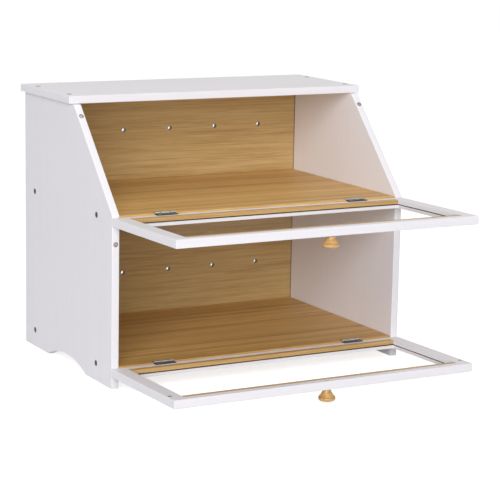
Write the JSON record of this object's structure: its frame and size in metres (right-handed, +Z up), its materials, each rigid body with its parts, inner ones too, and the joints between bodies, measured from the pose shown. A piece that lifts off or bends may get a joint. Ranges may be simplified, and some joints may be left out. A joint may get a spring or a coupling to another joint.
{
  "type": "bread box",
  "caption": "Countertop bread box with an upright lower and a slanted upper compartment, each closed by a glazed drop-front door with a turned knob.",
  "frame": {"origin": "on the ground, below the middle of the box that holds the part with both doors open", "axes": "+X to the right seen from the front, +Y to the back, +Z up"},
  "size_m": [0.38, 0.408, 0.311],
  "materials": {
    "white_paint": "bamboo board under smooth satin white paint",
    "bamboo": "laminated bamboo, clear satin varnish",
    "turned_wood": "turned and varnished",
    "clear_pane": "clear acrylic sheet",
    "screw_steel": "yellow zinc plate",
    "magnet_steel": "nickel plate",
    "nickel": "satin nickel plate"
  },
  "bodies": {
    "cabinet": {"back_panel": "bamboo", "left_lower_back_screw": "screw_steel", "left_lower_front_screw": "screw_steel", "left_upper_back_screw": "screw_steel", "left_upper_front_screw": "screw_steel", "lower_left_hinge_pin": "nickel", "lower_left_hinge_shelf_leaf": "nickel", "lower_left_magnet": "magnet_steel", "lower_right_hinge_pin": "nickel", "lower_right_hinge_shelf_leaf": "nickel", "lower_right_magnet": "magnet_steel", "lower_shelf": "bamboo", "right_lower_back_screw": "screw_steel", "right_lower_front_screw": "screw_steel", "right_upper_back_screw": "screw_steel", "right_upper_front_screw": "screw_steel", "side_panel_left": "white_paint", "side_panel_right": "white_paint", "top_board": "white_paint", "top_left_back_screw": "screw_steel", "top_left_front_screw": "screw_steel", "top_right_back_screw": "screw_steel", "top_right_front_screw": "screw_steel", "upper_left_hinge_pin": "nickel", "upper_left_hinge_shelf_leaf": "nickel", "upper_left_magnet": "magnet_steel", "upper_right_hinge_pin": "nickel", "upper_right_hinge_shelf_leaf": "nickel", "upper_right_magnet": "magnet_steel", "upper_shelf": "bamboo"},
    "upper_door": {"upper_door_hinge_bead": "bamboo", "upper_door_hinge_rail": "white_paint", "upper_door_knob": "turned_wood", "upper_door_knob_screw": "screw_steel", "upper_door_left_stile": "white_paint", "upper_door_left_strike": "magnet_steel", "upper_door_pane": "clear_pane", "upper_door_right_stile": "white_paint", "upper_door_right_strike": "magnet_steel", "upper_door_top_bead": "bamboo", "upper_door_top_rail": "white_paint", "upper_left_hinge_door_leaf": "nickel", "upper_right_hinge_door_leaf": "nickel"},
    "lower_door": {"lower_door_hinge_bead": "bamboo", "lower_door_hinge_rail": "white_paint", "lower_door_knob": "turned_wood", "lower_door_knob_screw": "screw_steel", "lower_door_left_stile": "white_paint", "lower_door_left_strike": "magnet_steel", "lower_door_pane": "clear_pane", "lower_door_right_stile": "white_paint", "lower_door_right_strike": "magnet_steel", "lower_door_top_bead": "bamboo", "lower_door_top_rail": "white_paint", "lower_left_hinge_door_leaf": "nickel", "lower_right_hinge_door_leaf": "nickel"}
  },
  "joints": [
    {"name": "upper_door_hinge", "type": "hinge", "parent": "cabinet", "child": "upper_door", "pos_m": [0, -0.04577, 0.192], "axis": [-1, 0, 0], "range_deg": [0, 132.5]},
    {"name": "lower_door_hinge", "type": "hinge", "parent": "cabinet", "child": "lower_door", "pos_m": [0, -0.04577, 0.025], "axis": [-1, 0, 0], "range_deg": [0, 89]}
  ]
}
